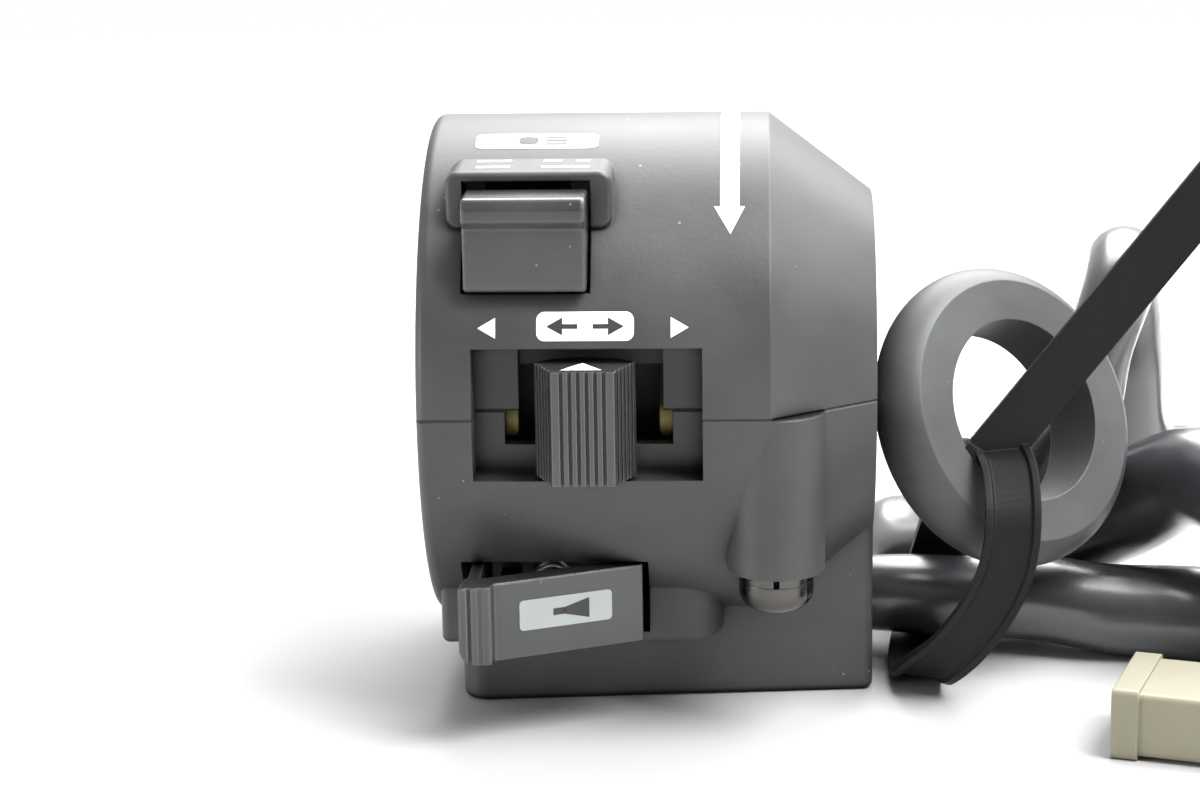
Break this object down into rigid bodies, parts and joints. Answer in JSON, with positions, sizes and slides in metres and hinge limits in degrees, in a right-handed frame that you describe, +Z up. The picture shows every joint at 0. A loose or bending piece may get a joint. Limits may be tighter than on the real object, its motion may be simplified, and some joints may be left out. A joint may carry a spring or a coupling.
{
  "type": "handlebar switch cluster",
  "caption": "Left handlebar switch in a split black case: sliding lights key under a hood, fluted turn slide, horn lever, and a sleeved harness with a bar ring strapped to it.",
  "frame": {"origin": "on the handlebar's axis, at the middle of the case's length", "axes": "+X along the bar towards the rider's right, -Y towards the rider, +Z up"},
  "size_m": [0.2029, 0.1388, 0.0679],
  "materials": {
    "case_plastic": "fine matte, moulded",
    "knob_plastic": "satin, moulded",
    "base_plastic": "plain, moulded",
    "screw_steel": "nickel plated",
    "spring_steel": "drawn wire",
    "contact_brass": "stamped",
    "soft_sleeve": "soft, slightly glossy",
    "ring_rubber": "matte, moulded",
    "strap_plastic": "flexible",
    "connector_plastic": "natural nylon",
    "wire_brown": "extruded",
    "wire_yellow": "extruded",
    "wire_green": "extruded"
  },
  "bodies": {
    "housing": {"upper_case": "case_plastic", "lower_case": "case_plastic", "case_screws": "screw_steel", "screw_washers": "screw_steel", "lights_base": "base_plastic", "lights_fixed_contacts": "contact_brass", "lights_base_screws": "screw_steel", "turn_base": "base_plastic", "turn_base_screws": "screw_steel", "turn_fixed_contacts": "contact_brass", "horn_pivot_pin": "screw_steel", "horn_return_spring": "spring_steel", "horn_contact_plate": "base_plastic", "horn_plate_screws": "screw_steel", "horn_fixed_contact": "contact_brass", "sleeve_grommet": "soft_sleeve", "harness_sleeve": "soft_sleeve", "wire_brown": "wire_brown", "wire_yellow": "wire_yellow", "wire_green": "wire_green", "connector_housing": "connector_plastic", "connector_terminals": "contact_brass", "bar_ring": "ring_rubber", "harness_strap": "strap_plastic"},
    "lights_key": {"lights_knob": "knob_plastic", "lights_moving_contact": "contact_brass", "lights_detent_ball": "screw_steel", "lights_detent_spring": "spring_steel"},
    "turn_slide": {"turn_knob": "knob_plastic", "turn_slider": "base_plastic", "turn_moving_contact": "contact_brass", "turn_detent_ball": "screw_steel", "turn_detent_spring": "spring_steel"},
    "horn_lever_body": {"horn_lever": "knob_plastic", "horn_moving_contact": "contact_brass"}
  },
  "joints": [
    {"name": "lights_slide", "type": "slide", "parent": "housing", "child": "lights_key", "axis": [0, 0, 1], "range_m": [0, 0.0025]},
    {"name": "turn_slide_joint", "type": "slide", "parent": "housing", "child": "turn_slide", "axis": [1, 0, 0], "range_m": [-0.005, 0.005]},
    {"name": "horn_press", "type": "hinge", "parent": "housing", "child": "horn_lever_body", "pos_m": [-0.003, -0.0176, -0.023], "axis": [0, 0, -1], "range_deg": [0, 7], "stiffness_Nm_per_rad": 0.35, "deforming": ["horn_return_spring"]}
  ]
}
